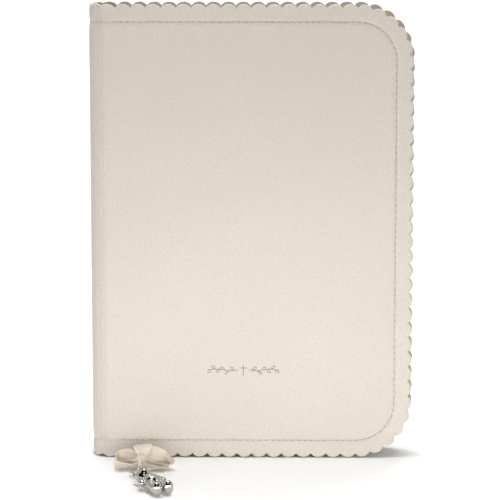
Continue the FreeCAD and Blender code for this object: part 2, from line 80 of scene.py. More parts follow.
# ---- Table and light ----------------------------------------------------------------------------------
# A plain white table that runs up into a white wall without an edge. A key lamp stands over the camera, a
# small one hangs above the book, a low strip lights its foot and a large one whitens the wall, so that only
# a thin soft shadow lies at the foot of the book.
def linear(code):
    """An sRGB hex colour as linear RGBA."""
    values = [int(code[i:i + 2], 16) / 255 for i in (1, 3, 5)]
    return [v / 12.92 if v <= 0.04045 else ((v + 0.055) / 1.055) ** 2.4 for v in values] + [1.0]


def add(tree, kind, settings=None, **sockets):
    """One shader node, with its settings, its values and what is linked to its sockets."""
    made = tree.nodes.new("ShaderNode" + kind)
    for name, value in (settings or {}).items():
        setattr(made, name, value)
    for name, value in sockets.items():
        socket = made.inputs[name.replace("_", " ")]
        if isinstance(value, bpy.types.NodeSocket):
            tree.links.new(value, socket)
        else:
            socket.default_value = value
    return made


def new_material(name):
    """A material with only its output, ready for its own shader."""
    made = bpy.data.materials.new(name)
    made.use_nodes = True
    made.node_tree.nodes.clear()
    return made, made.node_tree


def finish_material(tree, **sockets):
    """The main shader and the output."""
    shader = add(tree, "BsdfPrincipled", **sockets)
    add(tree, "OutputMaterial", Surface=shader.outputs["BSDF"])


def deselect():
    """Leave edit mode, with nothing selected."""
    if bpy.context.object and bpy.context.object.mode != "OBJECT":
        bpy.ops.object.mode_set(mode="OBJECT")
    bpy.ops.object.select_all(action="DESELECT")


def paint(obj, material):
    """Give the whole piece one material."""
    obj.data.materials.clear()
    obj.data.materials.append(material)


TABLE_SIZE = 9.0           # metres
TABLE_PLACE = (0, -1.0, -0.0002)
WALL_HEIGHT = 3.0
SWEEP_RADIUS, SWEEP_STEPS = 1.2, 16
deselect()
bpy.ops.mesh.primitive_plane_add(size=TABLE_SIZE, location=TABLE_PLACE)
table = bpy.context.object
table.name = "table"
bpy.ops.object.mode_set(mode="EDIT")
bpy.ops.mesh.select_mode(type="EDGE")
bpy.ops.mesh.select_all(action="DESELECT")
bpy.ops.object.mode_set(mode="OBJECT")
for edge in table.data.edges:
    edge.select = all(table.data.vertices[v].co.y > 0.49 * TABLE_SIZE for v in edge.vertices)
bpy.ops.object.mode_set(mode="EDIT")
bpy.ops.mesh.extrude_region_move(TRANSFORM_OT_translate={"value": (0, 0, WALL_HEIGHT)})
bpy.ops.mesh.select_all(action="SELECT")
bpy.ops.object.mode_set(mode="OBJECT")
bevel = table.modifiers.new("curve", "BEVEL")
bevel.width, bevel.segments = SWEEP_RADIUS, SWEEP_STEPS
bpy.ops.object.modifier_apply(modifier="curve")
bpy.ops.object.shade_smooth()
# White background paper: quite matt, and a little under pure white.
table_white, tree = new_material("white_paper_sweep")
finish_material(tree, Base_Color=linear("#FCFCFC"), Roughness=0.9)
paint(table, table_white)

# The room is white down by the floor and dark above the camera, which is what polished silver shows.
# Each pair says where along a unit direction the dark begins and where it is full.
DARK_UP, DARK_AHEAD, DARK_ASIDE = (0.24, 0.34), (0.05, -0.12), (0.92, 0.74)
ROOM_LIGHT = 0.76
world = bpy.data.worlds.new("studio")
bpy.context.scene.world = world
world.use_nodes = True
world.node_tree.nodes.clear()
tree = world.node_tree
heading = add(tree, "SeparateXYZ", Vector=add(tree, "TexCoord").outputs["Object"])
high = add(tree, "MapRange", Value=heading.outputs["Z"], From_Min=DARK_UP[0], From_Max=DARK_UP[1])
ahead = add(tree, "MapRange", Value=heading.outputs["Y"], From_Min=DARK_AHEAD[0],
            From_Max=DARK_AHEAD[1])
aside = add(tree, "Math", {"operation": "ABSOLUTE"})
tree.links.new(heading.outputs["X"], aside.inputs[0])
central = add(tree, "MapRange", Value=aside.outputs["Value"], From_Min=DARK_ASIDE[0],
              From_Max=DARK_ASIDE[1])
middle = add(tree, "Math", {"operation": "MULTIPLY"})
tree.links.new(ahead.outputs["Result"], middle.inputs[0])
tree.links.new(central.outputs["Result"], middle.inputs[1])
dark = add(tree, "Math", {"operation": "MULTIPLY"})
tree.links.new(high.outputs["Result"], dark.inputs[0])
tree.links.new(middle.outputs["Value"], dark.inputs[1])
room = add(tree, "MixRGB", Fac=dark.outputs["Value"], Color1=linear("#FFFFFF"), Color2=linear("#101012"))
background = add(tree, "Background", Color=room.outputs["Color"], Strength=ROOM_LIGHT)
add(tree, "OutputWorld", Surface=background.outputs["Background"])

# name, place, what it points at, width and height, in metres, and watts
SOFT_BOXES = (
    ("key", (0.25, -1.0, 1.2), (0, 0, 0.1), 0.6, 0.6, 1.6),
    ("top", (0, -0.14, 0.85), (0, -0.14, 0), 0.3, 0.3, 3.2),
    ("low_strip", (0, -0.20, 0.015), (0, 0, 0.015), 0.3, 0.025, 0.23),
    ("wall", (0, 1.3, 2.2), (0, 2.6, 0), 1.6, 1.6, 55.0),
)
for name, stand, target, width, height, power in SOFT_BOXES:
    lamp = bpy.data.lights.new(name, "AREA")
    lamp.shape, lamp.size, lamp.size_y, lamp.energy = "RECTANGLE", width, height, power
    holder = bpy.data.objects.new(name, lamp)
    bpy.context.scene.collection.objects.link(holder)
    holder.location = stand
    holder.rotation_euler = (Vector(target) - Vector(stand)).to_track_quat("-Z", "Y").to_euler()


# ---- Cover skins --------------------------------------------------------------------------------------
# One piece of embossed polyurethane leatherette wraps the case: its edge is die-cut in scallops, it is
# glued over padded boards, and it bends round the spine without a seam. It is built as a front and a
# back half that meet down the middle of the spine.
SCALLOP_DEPTH = 1.7        # mm, like every size from here on
CORNER_RADIUS = 26.0
SPINE_RADIUS = 8.5
HALF_FLAT = 2.5
HALF_THICK = 11.0
SPINE_FACE = -74.5
CASE_HEIGHT = 210.0
SCALLOP_PITCH = 6.85
FIRST_NOTCH = -62.6
HALF_SPINE_SCALLOPS = 2.5  # from the middle of the spine to the first notch
STEPS = 6                  # points along one scallop of the covers
SPINE_STEPS = 14           # and of the spine
SKIN_THICK = 0.9
BEND_END = HALF_FLAT + math.pi / 2 * SPINE_RADIUS
FLAT_SHIFT = BEND_END - (SPINE_FACE + SPINE_RADIUS)
ROW_PLACES = (10.75, 12.75)   # the spine's stitch rows, along the skin from the middle of the spine
ROW_PULL, ROW_SPREAD = 0.28, 0.4   # how deep a row pulls the skin in, and over what width
ROW_FADE = 9.0             # how far inside the scallop tips the pull is full
# for each ring inwards from the edge: its inset, how much it follows the scallops, and the skin's height
RINGS = ((0.0, 1.0, -0.45), (0.16, 1.0, -0.14), (0.5, 0.95, 0.0), (1.3, 0.62, 0.06), (2.9, 0.0, 0.1),
         (4.4, 0.0, 0.14), (5.7, 0.0, 0.14), (6.6, 0.0, 0.08), (7.3, 0.0, -0.06), (7.75, 0.0, -0.27),
         (8.0, 0.0, -0.34), (8.25, 0.0, -0.27), (8.7, 0.0, -0.05), (9.5, 0.0, 0.06), (10.4, 0.0, 0.16),
         (11.6, 0.0, 0.24), (14.0, 0.0, 0.3))


def skin_point(side, u, z, height):
    """The place of a point of the skin: u along it from the middle of the spine, height above it."""
    if u <= HALF_FLAT:
        x, y = SPINE_FACE - height, u
    elif u <= BEND_END:
        turn = (u - HALF_FLAT) / SPINE_RADIUS
        reach = SPINE_RADIUS + height
        x, y = SPINE_FACE + SPINE_RADIUS - reach * math.cos(turn), HALF_FLAT + reach * math.sin(turn)
    else:
        x, y = u - FLAT_SHIFT, HALF_THICK + height
    return Vector((x * MM, side * y * MM, z * MM))


def edge_stations(fore_x):
    """Points along the line through the notches, from the spine's foot round to its head: where each is
    (u, z), its outward direction, and how far the scallop stands out there."""
    notch_u = FIRST_NOTCH + FLAT_SHIFT
    corner_u, side_u = fore_x - CORNER_RADIUS + FLAT_SHIFT, fore_x - SCALLOP_DEPTH + FLAT_SHIFT
    r = CORNER_RADIUS - SCALLOP_DEPTH
    run, bend, rise = corner_u - notch_u, math.pi / 2 * r, CASE_HEIGHT - 2 * CORNER_RADIUS
    total = 2 * run + 2 * bend + rise
    count = round(total / SCALLOP_PITCH)

    def bulge(t, pitch):
        radius = ((pitch / 2) ** 2 + SCALLOP_DEPTH ** 2) / (2 * SCALLOP_DEPTH)
        return math.sqrt(radius ** 2 - t ** 2) - radius + SCALLOP_DEPTH

    def along(s):
        if s <= run:
            return notch_u + s, SCALLOP_DEPTH, 0.0, -1.0
        if s <= run + bend:
            a = (s - run) / r
            return corner_u + r * math.sin(a), CORNER_RADIUS - r * math.cos(a), math.sin(a), -math.cos(a)
        return side_u, CORNER_RADIUS + s - run - bend, 1.0, 0.0

    spine_pitch = notch_u / HALF_SPINE_SCALLOPS
    spine_steps = HALF_SPINE_SCALLOPS * SPINE_STEPS
    stations = []
    for i in range(round(spine_steps)):
        u = i * notch_u / spine_steps
        t = (u + spine_pitch / 2) % spine_pitch - spine_pitch / 2
        stations.append((u, SCALLOP_DEPTH, 0.0, -1.0, bulge(t, spine_pitch)))
    pitch = total / count
    middle = total / 2
    steps = round(count * STEPS / 2)
    for i in range(steps + 1):
        s = i * middle / steps
        # a hair further on, so that a point in a notch counts to the scallop after it
        t = (s + pitch * 1e-6) % pitch - pitch / 2
        t = max(-pitch / 2, min(pitch / 2, t))
        stations.append(along(s) + (bulge(t, pitch),))
    top = [(u, CASE_HEIGHT - z, nu, -nz, b) for u, z, nu, nz, b in reversed(stations[:-1])]
    side_steps = sum(1 for s in stations if s[2] >= 1.0)
    return stations + top, len(stations) - side_steps


def pressed_grid(name, columns, rows, place_of):
    """A grid primitive of that many faces, with each point pressed to its place."""
    deselect()
    bpy.ops.mesh.primitive_grid_add(x_subdivisions=columns, y_subdivisions=rows, size=2.0)
    grid = bpy.context.object
    grid.name = name
    for vertex in grid.data.vertices:
        i, j = round((vertex.co.x + 1) / 2 * columns), round((vertex.co.y + 1) / 2 * rows)
        vertex.co = place_of(i, j)
    return grid


def join(name, *pieces):
    """Several meshes as one piece."""
    deselect()
    for piece in pieces:
        piece.select_set(True)
    bpy.context.view_layer.objects.active = pieces[0]
    if len(pieces) > 1:
        bpy.ops.object.join()
    joined = bpy.context.object
    joined.name = joined.data.name = name
    return joined


def merge_and_face_out(obj, distance=1e-6):
    """Merge the points that meet, and turn the faces one way."""
    deselect()
    obj.select_set(True)
    bpy.context.view_layer.objects.active = obj
    bpy.ops.object.mode_set(mode="EDIT")
    bpy.ops.mesh.select_all(action="SELECT")
    bpy.ops.mesh.remove_doubles(threshold=distance)
    bpy.ops.mesh.normals_make_consistent(inside=False)
    bpy.ops.object.mode_set(mode="OBJECT")


def apply_modifiers(obj):
    """Apply all the piece's modifiers, in their order, and leave it the one selected."""
    deselect()
    obj.select_set(True)
    bpy.context.view_layer.objects.active = obj
    for modifier in list(obj.modifiers):
        bpy.ops.object.modifier_apply(modifier=modifier.name)


def row_valley(u):
    """How far the stitch rows pull the spine's skin in at u."""
    return sum(-ROW_PULL * math.exp(-((u - row) / ROW_SPREAD) ** 2) for row in ROW_PLACES)


def cover_skin(side, name, fore_x):
    """Half of the case's skin: a ringed band along the scalloped edge, and the panel inside it."""
    stations, columns = edge_stations(fore_x)
    rings = len(RINGS) - 1

    def band_place(i, j):
        u, z, nu, nz, bulge = stations[i]
        inset, follow, height = RINGS[j]
        out = SCALLOP_DEPTH - inset - (SCALLOP_DEPTH - bulge) * follow
        fade = min(1.0, inset / ROW_FADE)
        return skin_point(side, u + nu * out, z + nz * out, height + fade * row_valley(u))

    band = pressed_grid(name + "_edge", len(stations) - 1, rings, band_place)
    rows = len(stations) - 1 - 2 * columns

    def panel_place(i, j):
        inset, _, height = RINGS[-1]
        out = SCALLOP_DEPTH - inset
        low_u, low_z, nu, nz, _ = stations[i]
        share = j / rows
        low = low_z + nz * out
        u = low_u + nu * out
        z = low + (CASE_HEIGHT - 2 * low) * share
        if i == columns:
            z = stations[columns + j][1]
        return skin_point(side, u, z, height + row_valley(u))

    panel = pressed_grid(name + "_panel", columns, rows, panel_place)
    skin = join(name, band, panel)
    merge_and_face_out(skin)
    outwards = sum((p.normal.y * side > 0) for p in skin.data.polygons) > len(skin.data.polygons) / 2
    if not outwards:
        skin.data.flip_normals()
    thick = skin.modifiers.new("thickness", "SOLIDIFY")
    thick.thickness, thick.offset = SKIN_THICK * MM, -1.0
    apply_modifiers(skin)
    bpy.ops.object.shade_smooth_by_angle(angle=math.radians(50))
    return skin


# Polyurethane leatherette, embossed with a fine pebble grain: satin, a soft low-contrast relief.
leatherette, tree = new_material("pebbled_polyurethane_leatherette")
place = add(tree, "TexCoord").outputs["Object"]
PEBBLE, CREASE, CLOUD = 0.9, 0.5, 45.0   # mm across one pebble, one fine crease and one patch of tone
pebbles = add(tree, "TexVoronoi", {"feature": "SMOOTH_F1"}, Vector=place, Scale=1000 / PEBBLE,
              Smoothness=0.6, Randomness=0.9)
wander = add(tree, "TexNoise", Vector=place, Scale=1000 / CREASE, Detail=3.0, Roughness=0.6)
cloud = add(tree, "TexNoise", Vector=place, Scale=1000 / CLOUD, Detail=2.0)
relief = add(tree, "Math", {"operation": "MULTIPLY_ADD"})   # pebbles high, the creases round them low
tree.links.new(pebbles.outputs["Distance"], relief.inputs[0])
relief.inputs[1].default_value = -1.0
tree.links.new(wander.outputs["Fac"], relief.inputs[2])
bump = add(tree, "Bump", Strength=0.35, Distance=0.00012, Height=relief.outputs["Value"])
tone = add(tree, "MixRGB", Fac=cloud.outputs["Fac"], Color1=linear("#D6CDC3"), Color2=linear("#DBD3C8"))
# The creases between the pebbles are painted darker: painted shade in the low creases of the grain.
pebble_crease_shade = add(tree, "ValToRGB", Fac=pebbles.outputs["Distance"])
pebble_crease_shade.color_ramp.elements[0].color = (1, 1, 1, 1)
pebble_crease_shade.color_ramp.elements[1].position = 0.9
pebble_crease_shade.color_ramp.elements[1].color = (0.80, 0.78, 0.76, 1)
skin_colour = add(tree, "MixRGB", {"blend_type": "MULTIPLY"}, Fac=0.6, Color1=tone.outputs["Color"],
                  Color2=pebble_crease_shade.outputs["Color"])
finish_material(tree, Base_Color=skin_colour.outputs["Color"], Roughness=0.58, Normal=bump.outputs["Normal"],
                Specular_IOR_Level=0.35)

front_fore_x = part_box("front_cover_skin")[1][0] / MM
back_fore_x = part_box("back_cover_skin")[1][0] / MM
COVERS = ((-1, "front", front_fore_x), (1, "back", back_fore_x))
for side, word, fore_x in COVERS:
    skin = cover_skin(side, word + "_skin", fore_x)
    paint(skin, leatherette)
    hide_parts(word + "_cover_skin", "spine_skin")
    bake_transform(skin)


# ---- Edge stitching -----------------------------------------------------------------------------------
# A lock stitch in twisted polyester thread holds the leatherette, the board's edge and the zip tape
# together, 8 mm inside the scallop tips. Each stitch is a short thread pulled into its needle holes.
STITCH_INSET = 8.0
STITCH_PITCH = 3.0
STITCH_LENGTH = 2.35
THREAD = 0.62
STITCH_LIFT, STITCH_ARCH = 0.02, 0.1   # how high a stitch's ends lie, and how much its middle rises
HOLE_RADIUS, HOLE_LIFT, HOLE_RIM = 0.34, 0.03, 0.04   # a needle hole, its height and its rim
EDGE_ROW_START = -63.0     # x where the rows begin beside the spine
EDGE_ROW_SUNK = 0.3

# Twisted polyester sewing thread: matt with a faint sheen, and slanting strands.
STRAND = 0.2826            # mm from strand to strand
thread_cream, tree = new_material("twisted_polyester_thread")
place = add(tree, "TexCoord").outputs["Object"]
strands = add(tree, "TexWave", {"bands_direction": "DIAGONAL"}, Vector=place, Scale=314 / STRAND,
              Distortion=0.6)
bump = add(tree, "Bump", Strength=0.5, Distance=0.00008, Height=strands.outputs["Fac"])
tone = add(tree, "MixRGB", Fac=strands.outputs["Fac"], Color1=linear("#CDBEAD"), Color2=linear("#D9CCBC"))
finish_material(tree, Base_Color=tone.outputs["Color"], Roughness=0.75, Normal=bump.outputs["Normal"],
                Sheen_Weight=0.2)

# A needle hole in the leatherette: a matt dot painted darker, as painted shade in the hole.
needle_hole_shade, tree = new_material("painted_needle_hole_shade")
place = add(tree, "TexCoord").outputs["Object"]
depth = add(tree, "TexNoise", Vector=place, Scale=1000 / 0.6)
tone = add(tree, "MixRGB", Fac=depth.outputs["Fac"], Color1=linear("#A6978A"), Color2=linear("#B9AB9D"))
finish_material(tree, Base_Color=tone.outputs["Color"], Roughness=0.9)


def stitch_unit(name):
    """One stitch along X with the needle hole at its end, lying on Z = 0."""
    deselect()
    bpy.ops.mesh.primitive_uv_sphere_add(segments=8, ring_count=6, radius=0.5)
    thread = bpy.context.object
    for vertex in thread.data.vertices:
        x, y, z = vertex.co
        arch = STITCH_ARCH * math.cos(math.pi * x * 0.9)
        vertex.co = ((x * STITCH_LENGTH) * MM, y * THREAD * MM,
                     (z * THREAD * 0.9 + STITCH_LIFT + arch) * MM)
    paint(thread, thread_cream)
    # The needle hole is a flat disc in the dark material: painted shade where the thread goes in.
    bpy.ops.mesh.primitive_circle_add(vertices=8, radius=HOLE_RADIUS * MM, fill_type="NGON",
                                      location=(STITCH_PITCH / 2 * MM, 0, HOLE_LIFT * MM))
    hole = bpy.context.object
    bpy.ops.object.mode_set(mode="EDIT")
    bpy.ops.mesh.extrude_region_move(TRANSFORM_OT_translate={"value": (0, 0, HOLE_RIM * MM)})
    bpy.ops.object.mode_set(mode="OBJECT")
    paint(hole, needle_hole_shade)
    unit = join(name, thread, hole)
    bpy.ops.object.transform_apply(location=True, rotation=True, scale=True)
    bpy.ops.object.shade_smooth()
    return unit


def placed_run(unit, frames):
    """Repeat a unit along frames (point, along, out), each copy turned to its own frame; one mesh."""
    copies = []
    for point, along, out in frames:
        copy = unit.copy()
        copy.data = unit.data.copy()
        bpy.context.scene.collection.objects.link(copy)
        across = out.cross(along).normalized()
        turn = Matrix((along, across, out)).transposed().to_4x4()
        copy.data.transform(Matrix.Translation(point) @ turn)
        copies.append(copy)
    name = unit.name
    bpy.data.objects.remove(unit)
    return join(name, *copies)


def inset_line(fore_x, inset, low_x, high_x, y):
    """The line along the three open sides at an inset: its length, and a function that gives the point
    and the line's direction at a distance along it."""
    r = CORNER_RADIUS - inset
    corner_x = fore_x - CORNER_RADIUS
    pieces = [(corner_x - low_x, lambda s: (low_x + s, inset, 1.0, 0.0)),
              (math.pi / 2 * r, lambda s: (corner_x + r * math.sin(s / r), CORNER_RADIUS - r * math.cos(s / r),
                                           math.cos(s / r), math.sin(s / r))),
              (CASE_HEIGHT - 2 * CORNER_RADIUS, lambda s: (fore_x - inset, CORNER_RADIUS + s, 0.0, 1.0)),
              (math.pi / 2 * r, lambda s: (corner_x + r * math.cos(s / r),
                                           CASE_HEIGHT - CORNER_RADIUS + r * math.sin(s / r),
                                           -math.sin(s / r), math.cos(s / r))),
              (corner_x - high_x, lambda s: (corner_x - s, CASE_HEIGHT - inset, -1.0, 0.0))]
    total = sum(length for length, _ in pieces)

    def at(s):
        for length, part in pieces:
            if s <= length:
                break
            s -= length
        x, z, ax, az = part(min(s, length))
        return Vector((x, y, z)) * MM, Vector((ax, 0, az))
    return total, at


def edge_stitches(side, name, fore_x, start_x):
    """The row of stitches along a cover's three open sides."""
    y = side * (HALF_THICK - EDGE_ROW_SUNK)
    total, at = inset_line(fore_x, STITCH_INSET, start_x, start_x, y)
    count = round(total / STITCH_PITCH)
    step = total / count
    frames = []
    for i in range(count):
        point, along = at((i + 0.5) * step)
        frames.append((point, along, Vector((0, side, 0))))
    return placed_run(stitch_unit(name), frames)


for side, word, fore_x in COVERS:
    stitches = edge_stitches(side, word + "_edge_stitches", fore_x, EDGE_ROW_START)
    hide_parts(word + "_edge_stitching")
    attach(stitches, word + "_cover")


# ---- Spine stitching ----------------------------------------------------------------------------------
# Two rows of the same polyester lock stitch run up each side of the rounded spine. They are sewn through
# skin and lining and hold the spine's stiffener in its pocket.
SPINE_ROW_END = 4.0        # from the head and the foot
SPINE_ROW_SUNK = 0.25
row_length = CASE_HEIGHT - 2 * SPINE_ROW_END
count = round(row_length / STITCH_PITCH)
for side, word, _ in COVERS:
    frames = []
    for u in ROW_PLACES:
        for i in range(count):
            z = SPINE_ROW_END + (i + 0.5) * row_length / count
            point = skin_point(side, u, z, -SPINE_ROW_SUNK)
            out = (skin_point(side, u, z, 1.0) - point).normalized()
            frames.append((point, Vector((0, 0, 1)), out))
    rows = placed_run(stitch_unit(word + "_spine_stitches"), frames)
    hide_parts(word + "_spine_stitching")
    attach(rows, "spine_and_block")


# ---- Boards, linings and endpapers --------------------------------------------------------------------
# Grey board stiffens the covers and the spine; a smooth beige synthetic lining backs the leatherette, and
# cream endpapers of laid paper are pasted to it and turn as the flyleaves.
def paint_nodes(material, *names):
    """Give pieces that keep their own shape one material."""
    for name in names:
        paint(bpy.data.objects[name], material)


# Pressed grey board: rough, dull and a little fibrous.
grey_board, tree = new_material("grey_bookbinding_board")
place = add(tree, "TexCoord").outputs["Object"]
fibres = add(tree, "TexNoise", Vector=place, Scale=1000 / 0.8, Detail=4.0)
tone = add(tree, "MixRGB", Fac=fibres.outputs["Fac"], Color1=linear("#7D756A"), Color2=linear("#9A9183"))
bump = add(tree, "Bump", Strength=0.3, Distance=0.0001, Height=fibres.outputs["Fac"])
finish_material(tree, Base_Color=tone.outputs["Color"], Roughness=0.95, Normal=bump.outputs["Normal"])

# Plain-woven polyester: a soft, dull cloth. Its weave is drawn coarser than it is, so that it shows.
WEAVE = 1.57               # mm from thread to thread
beige_lining, tree = new_material("woven_polyester_lining")
place = add(tree, "TexCoord").outputs["Object"]
warp = add(tree, "TexWave", {"bands_direction": "X"}, Vector=place, Scale=314 / WEAVE)
weft = add(tree, "TexWave", {"bands_direction": "Z"}, Vector=place, Scale=314 / WEAVE)
weave = add(tree, "MixRGB", {"blend_type": "MULTIPLY"}, Fac=1.0, Color1=warp.outputs["Color"],
            Color2=weft.outputs["Color"])
bump = add(tree, "Bump", Strength=0.25, Distance=0.00008, Height=weave.outputs["Color"])
tone = add(tree, "MixRGB", Fac=weave.outputs["Color"], Color1=linear("#B7ADA2"), Color2=linear("#CAC0B4"))
finish_material(tree, Base_Color=tone.outputs["Color"], Roughness=0.7, Normal=bump.outputs["Normal"],
                Sheen_Weight=0.15)

# Laid paper: matt, faintly ribbed and mottled. Its lines are drawn further apart than they are.
LAID_LINE, MOTTLE = 2.041, 6.0   # mm from line to line, and across a mottle
laid_paper, tree = new_material("laid_endpaper")
place = add(tree, "TexCoord").outputs["Object"]
laid = add(tree, "TexWave", {"bands_direction": "Z"}, Vector=place, Scale=314 / LAID_LINE,
           Distortion=0.3)
mottle = add(tree, "TexNoise", Vector=place, Scale=1000 / MOTTLE, Detail=5.0)
tone = add(tree, "MixRGB", Fac=mottle.outputs["Fac"], Color1=linear("#E9E0CC"), Color2=linear("#F1E9D8"))
bump = add(tree, "Bump", Strength=0.15, Distance=0.00005, Height=laid.outputs["Fac"])
finish_material(tree, Base_Color=tone.outputs["Color"], Roughness=0.9, Normal=bump.outputs["Normal"])

paint_nodes(grey_board, "front_board", "back_board", "spine_stiffener")
paint_nodes(beige_lining, "front_lining", "back_lining", "spine_lining")
paint_nodes(laid_paper, "front_pastedown", "back_pastedown", "front_flyleaf", "back_flyleaf")


# ---- Text block ---------------------------------------------------------------------------------------
# Eight folded sections of thin cream printing paper, sewn and cut; the cut edges show the leaves as fine
# lines. Open-weave mull is glued over the back, with a striped woven band at head and tail.
# Thin printing paper: matt and cream, with the leaves as lines on the cut edges; the darker part of each line
# is painted shade in the gap between leaves. One line stands for several leaves, so that it shows.
LEAF = 0.26                # mm from line to line
SECTIONS = 8
printing_paper, tree = new_material("thin_printing_paper")
place = add(tree, "TexCoord").outputs["Object"]
split = add(tree, "SeparateXYZ", Vector=place)
leaves = add(tree, "Math", {"operation": "MULTIPLY"})
tree.links.new(split.outputs["Y"], leaves.inputs[0])
leaves.inputs[1].default_value = 1000 / LEAF
uneven = add(tree, "TexNoise", Vector=place, Scale=1000 / 40.0, Detail=2.0)
shifted = add(tree, "Math", {"operation": "MULTIPLY_ADD"})   # the lines wander, as leaves do
tree.links.new(uneven.outputs["Fac"], shifted.inputs[0])
shifted.inputs[1].default_value = 3.0
tree.links.new(leaves.outputs["Value"], shifted.inputs[2])
leaf_lines_and_gap_shade = add(tree, "Math", {"operation": "PINGPONG"})
tree.links.new(shifted.outputs["Value"], leaf_lines_and_gap_shade.inputs[0])
leaf_lines_and_gap_shade.inputs[1].default_value = 0.5
# Light on the leaf edges, painted darker between them: painted shade in the gaps between leaves.
tone = add(tree, "MixRGB", Fac=leaf_lines_and_gap_shade.outputs["Value"], Color1=linear("#D8CDB6"), Color2=linear("#F7F1E3"))
bump = add(tree, "Bump", Strength=0.4, Distance=0.00006, Height=leaf_lines_and_gap_shade.outputs["Value"])
finish_material(tree, Base_Color=tone.outputs["Color"], Roughness=0.9, Normal=bump.outputs["Normal"])
paint_nodes(printing_paper, *[f"page_section_{i + 1}" for i in range(SECTIONS)])

# Starched cotton mull: a dull open check of threads, 0.7 mm apart.
mull_cloth, tree = new_material("open_weave_mull")
place = add(tree, "TexCoord").outputs["Object"]
threads = add(tree, "TexChecker", Vector=place, Scale=1000 / 0.7, Color1=linear("#E4DDCB"),
              Color2=linear("#C9C0AC"))
bump = add(tree, "Bump", Strength=0.5, Distance=0.0001, Height=threads.outputs["Fac"])
finish_material(tree, Base_Color=threads.outputs["Color"], Roughness=0.9, Normal=bump.outputs["Normal"])
paint_nodes(mull_cloth, "spine_mull")

# Headband silk: a soft gloss, striped by turns in two colours of thread.
STRIPE = 2.355             # mm from stripe to stripe
band_silk, tree = new_material("striped_headband_silk")
place = add(tree, "TexCoord").outputs["Object"]
stripes = add(tree, "TexWave", {"bands_direction": "Y", "wave_profile": "TRI"}, Vector=place,
              Scale=314 / STRIPE)
stripe = add(tree, "ValToRGB", Fac=stripes.outputs["Fac"])
stripe.color_ramp.interpolation = "CONSTANT"
stripe.color_ramp.elements[0].color = linear("#F4EFE4")
stripe.color_ramp.elements[1].position = 0.5
stripe.color_ramp.elements[1].color = linear("#B79F82")
finish_material(tree, Base_Color=stripe.outputs["Color"], Roughness=0.5, Sheen_Weight=0.3)
paint_nodes(band_silk, "headband", "tailband")


# ---- Stamped ornament ---------------------------------------------------------------------------------
# A small plain cross between two leafy sprigs, hot-stamped into the front cover in a matt taupe pigment
# foil that lets some of the leatherette's grain through.
# Pigment foil: matt, and worn paler where the grain stands high.
WEAR = 0.7                 # mm across a worn spot
taupe_foil, tree = new_material("matt_taupe_stamping_foil")
place = add(tree, "TexCoord").outputs["Object"]
worn = add(tree, "TexNoise", Vector=place, Scale=1000 / WEAR, Detail=3.0)
wear = add(tree, "ValToRGB", Fac=worn.outputs["Fac"])
wear.color_ramp.elements[0].position, wear.color_ramp.elements[0].color = 0.4, linear("#85776A")
wear.color_ramp.elements[1].position, wear.color_ramp.elements[1].color = 0.66, linear("#B5A798")
finish_material(tree, Base_Color=wear.outputs["Color"], Roughness=0.6)


def bent_lines(name, lines, steps, radius=0.0, rounding=0):
    """A curve object of smooth lines: each is its points, in mm, and whether it closes. With a radius they
    are round rods."""
    path = bpy.data.curves.new(name, "CURVE")
    path.dimensions = "3D"
    for points, closed in lines:
        spline = path.splines.new("NURBS")
        spline.points.add(len(points) - 1)
        for point, spot in zip(spline.points, points):
            point.co = (*(Vector(spot) * MM), 1.0)
        spline.order_u, spline.use_endpoint_u, spline.use_cyclic_u = 3, not closed, closed
        spline.resolution_u = steps
    path.bevel_depth, path.bevel_resolution, path.use_fill_caps = radius * MM, rounding, radius > 0
    holder = bpy.data.objects.new(name, path)
    bpy.context.scene.collection.objects.link(holder)
    bpy.context.view_layer.update()
    return holder


# The strokes stand on the padded face of the cover, pressed thin as foil. All are (x, z) in mm from the
# middle of the ornament; a leaf is where it springs from its stem and whether it points up or down.
FOIL_RADIUS, FOIL_FLATNESS = 0.21, 0.2
CROSS = (((0, -2.6), (0, 2.6)), ((-1.6, 0.9), (1.6, 0.9)))
STEM = ((2.6, 0.0), (6.0, -0.9), (11.0, 0.8), (16.4, -0.1))
LEAVES = ((4.2, -0.2, 1), (6.6, -0.4, -1), (8.6, -0.2, 1), (10.8, 0.2, -1), (12.8, 0.4, 1), (14.6, 0.2, -1))
strokes = [(stroke, False) for stroke in CROSS]
for side in (-1, 1):
    strokes.append(([(side * x, z) for x, z in STEM], False))
    for x, z, lift in LEAVES:
        outline = ((x, z), (x + 0.5, z + lift * 1.3), (x + 1.9, z + lift * 1.7), (x + 1.7, z + lift * 0.5))
        strokes.append(([(side * leaf_x, leaf_z) for leaf_x, leaf_z in outline], True))
foil_low, foil_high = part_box("cover_ornament")
foil_x, foil_z = (foil_low[0] + foil_high[0]) / 2 / MM, (foil_low[2] + foil_high[2]) / 2 / MM
placed_strokes = [([(foil_x + x, 0.0, foil_z + z) for x, z in points], closed) for points, closed in strokes]
foil_line = bent_lines("stamped_sprigs_line", placed_strokes, steps=6, radius=FOIL_RADIUS, rounding=1)
foil = bpy.data.objects.new("stamped_sprigs", bpy.data.meshes.new_from_object(foil_line))
bpy.context.scene.collection.objects.link(foil)
bpy.data.objects.remove(foil_line)
face_y = skin_point(-1, FLAT_SHIFT, 0, RINGS[-1][2]).y
for vertex in foil.data.vertices:
    vertex.co.y = vertex.co.y * FOIL_FLATNESS + face_y
paint(foil, taupe_foil)
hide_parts("cover_ornament")
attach(foil, "front_cover")


# ---- Zip ----------------------------------------------------------------------------------------------
# A nylon coil zip runs round three sides: two woven tapes sewn in under the stitch line, and on each a
# coil of monofilament whose loops mesh with the other's. The slider, its bridge, pull tab and stops are
# nickel-plated zinc.
COIL_PITCH = 1.7
COIL_THREAD = 0.36
LOOP_RADIUS = 0.62
LOOP_NEAR, LOOP_FAR = 0.72, 1.98   # where a loop's two halves lie, from the middle of the zip
ZIP_INSET = 6.0
FRONT_COIL_X, BACK_COIL_X = -51.0, -36.3   # where each row starts at the foot
COIL_END_X = -55.5         # where both end at the head
BACK_COIL_SHIFT = 0.35     # so that its loops lie between the front ones
END_COIL_X, END_LOOPS = -50.15, 7

